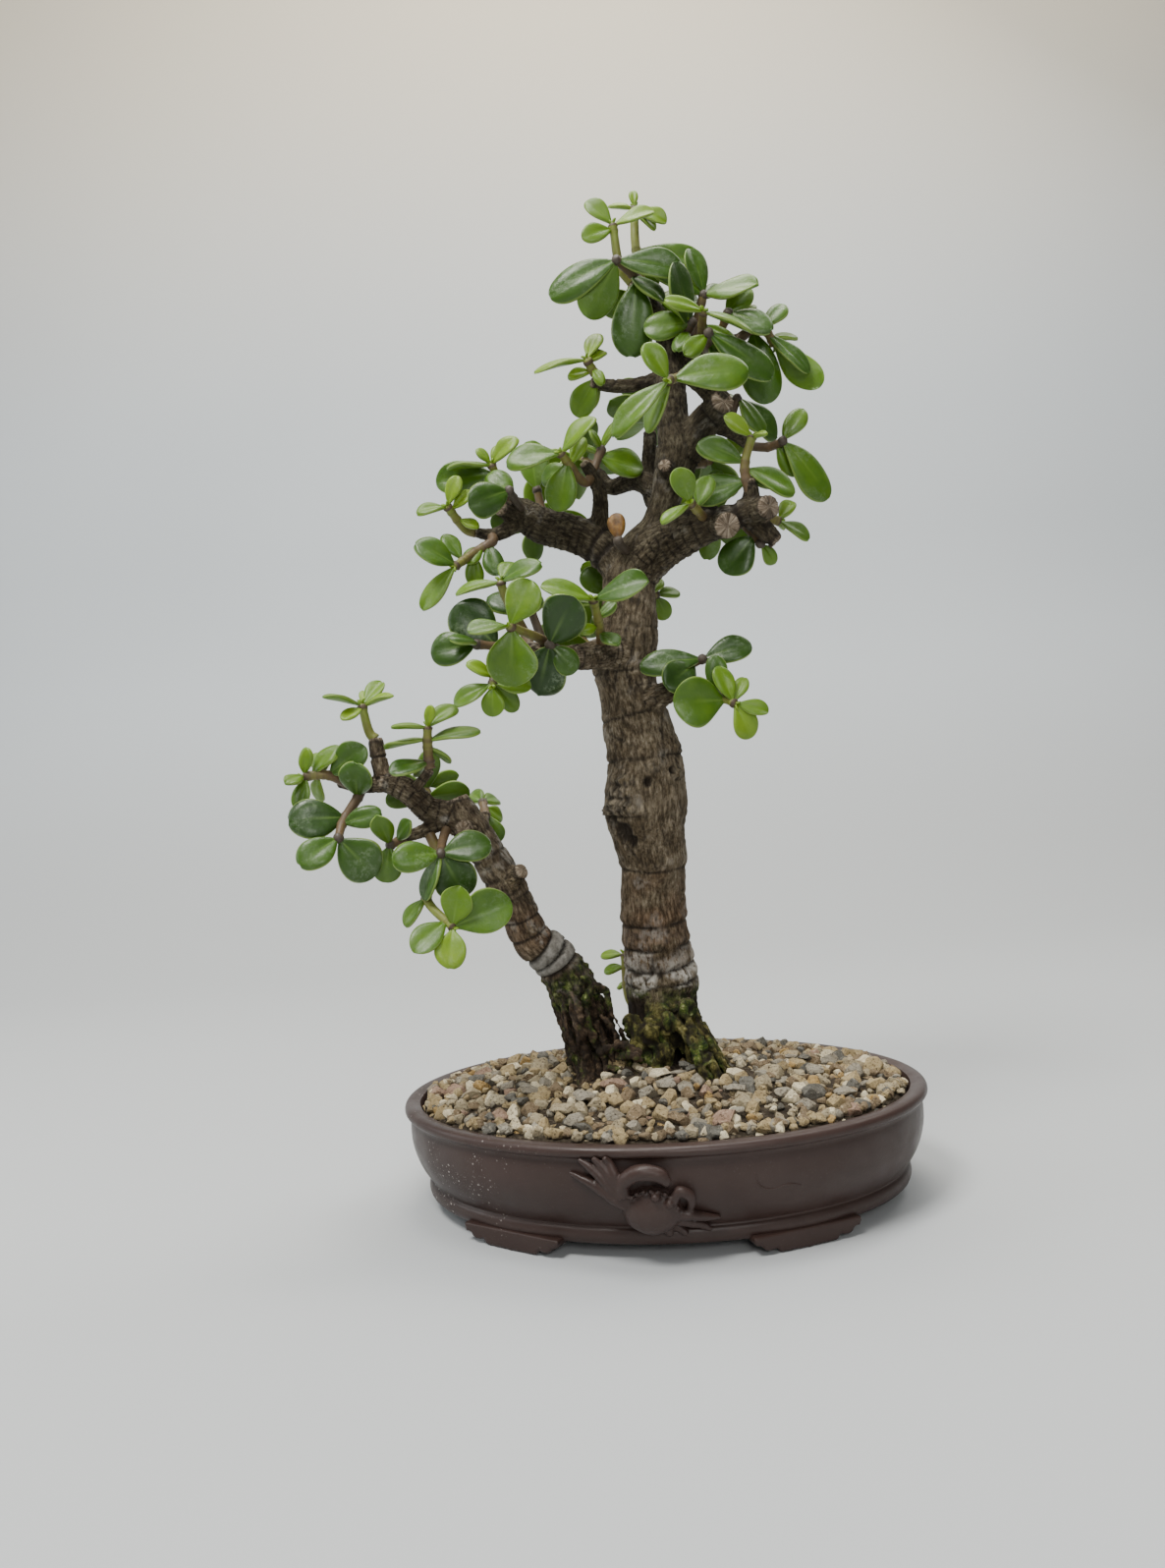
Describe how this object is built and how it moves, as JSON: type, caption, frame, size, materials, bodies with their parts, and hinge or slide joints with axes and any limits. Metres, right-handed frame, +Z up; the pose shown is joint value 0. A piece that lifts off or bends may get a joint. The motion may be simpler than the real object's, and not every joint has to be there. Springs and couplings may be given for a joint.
{
  "type": "dwarf jade bonsai tree in an oval pot",
  "caption": "Bonsai with twin trunks, thick limbs and round succulent leaves on separate shoots, rooted in gravelly soil in a low oval clay pot on feet.",
  "frame": {"origin": "middle of the whole part's box, at the height of the undersides of the feet", "axes": "+Z up along the trunk; +X to the right along the pot's long axis and +Y away, seen from the pot's front side with the moulded crab"},
  "size_m": [0.1694, 0.1124, 0.2923],
  "materials": {
    "leaf": "satin, waxy leaf skin, dark green when old and yellow-green when young",
    "bark": "matt grey-brown bark with cracks and ring scars",
    "bark_left": "matt dark brown bark with pale rings and mossy foot",
    "gravel": "rough mixed gravel in tan, ochre, grey and cream",
    "clay": "unglazed dark brown clay, satin",
    "screen": "matt black plastic mesh"
  },
  "bodies": {
    "root": {"trunk_main": "bark", "trunk_left": "bark_left", "shoot_left_crown": "leaf", "shoot_left_pagoda": "leaf", "shoot_left_end": "leaf", "shoot_left_lower": "leaf", "shoot_left_inner": "leaf", "shoot_left_cross": "leaf", "shoot_left_drop": "leaf", "shoot_left_back_tuft": "leaf", "shoot_base_sprout": "leaf", "shoot_right_lone_inner": "leaf", "shoot_right_lone_outer": "leaf", "shoot_low_front": "leaf", "shoot_low_left_tip": "leaf", "shoot_low_tuft": "leaf", "shoot_low_dark": "leaf", "shoot_low_behind": "leaf", "shoot_low_pair": "leaf", "shoot_low_bright": "leaf", "shoot_arm_left_pair": "leaf", "shoot_arm_left_low": "leaf", "shoot_arm_left_top": "leaf", "shoot_arm_left_dark": "leaf", "shoot_arm_fork": "leaf", "shoot_arm_under": "leaf", "shoot_arm_inner": "leaf", "shoot_mid_left": "leaf", "shoot_top_left": "leaf", "shoot_top_tip": "leaf", "shoot_top_crown": "leaf", "shoot_upper_mid": "leaf", "shoot_upper_inner": "leaf", "shoot_upper_fold": "leaf", "shoot_upper_right_fan": "leaf", "shoot_upper_right_end": "leaf", "shoot_upper_right_low": "leaf", "shoot_leader_cross": "leaf", "shoot_right_top": "leaf", "shoot_right_pagoda": "leaf", "shoot_right_arch": "leaf", "shoot_right_end": "leaf", "shoot_right_under": "leaf", "shoot_right_heart": "leaf", "shoot_trunk_back_tuft": "leaf", "shoot_withered": "leaf", "shoot_back_top": "leaf", "shoot_back_leader_left": "leaf", "shoot_back_leader_up": "leaf", "shoot_back_right": "leaf", "shoot_back_right_arm": "leaf", "shoot_back_fork": "leaf", "shoot_back_left_arm": "leaf", "shoot_back_low": "leaf", "shoot_back_second": "leaf", "pot": "clay", "soil": "gravel", "drain_screen_right": "screen", "drain_screen_left": "screen"}
  },
  "joints": []
}
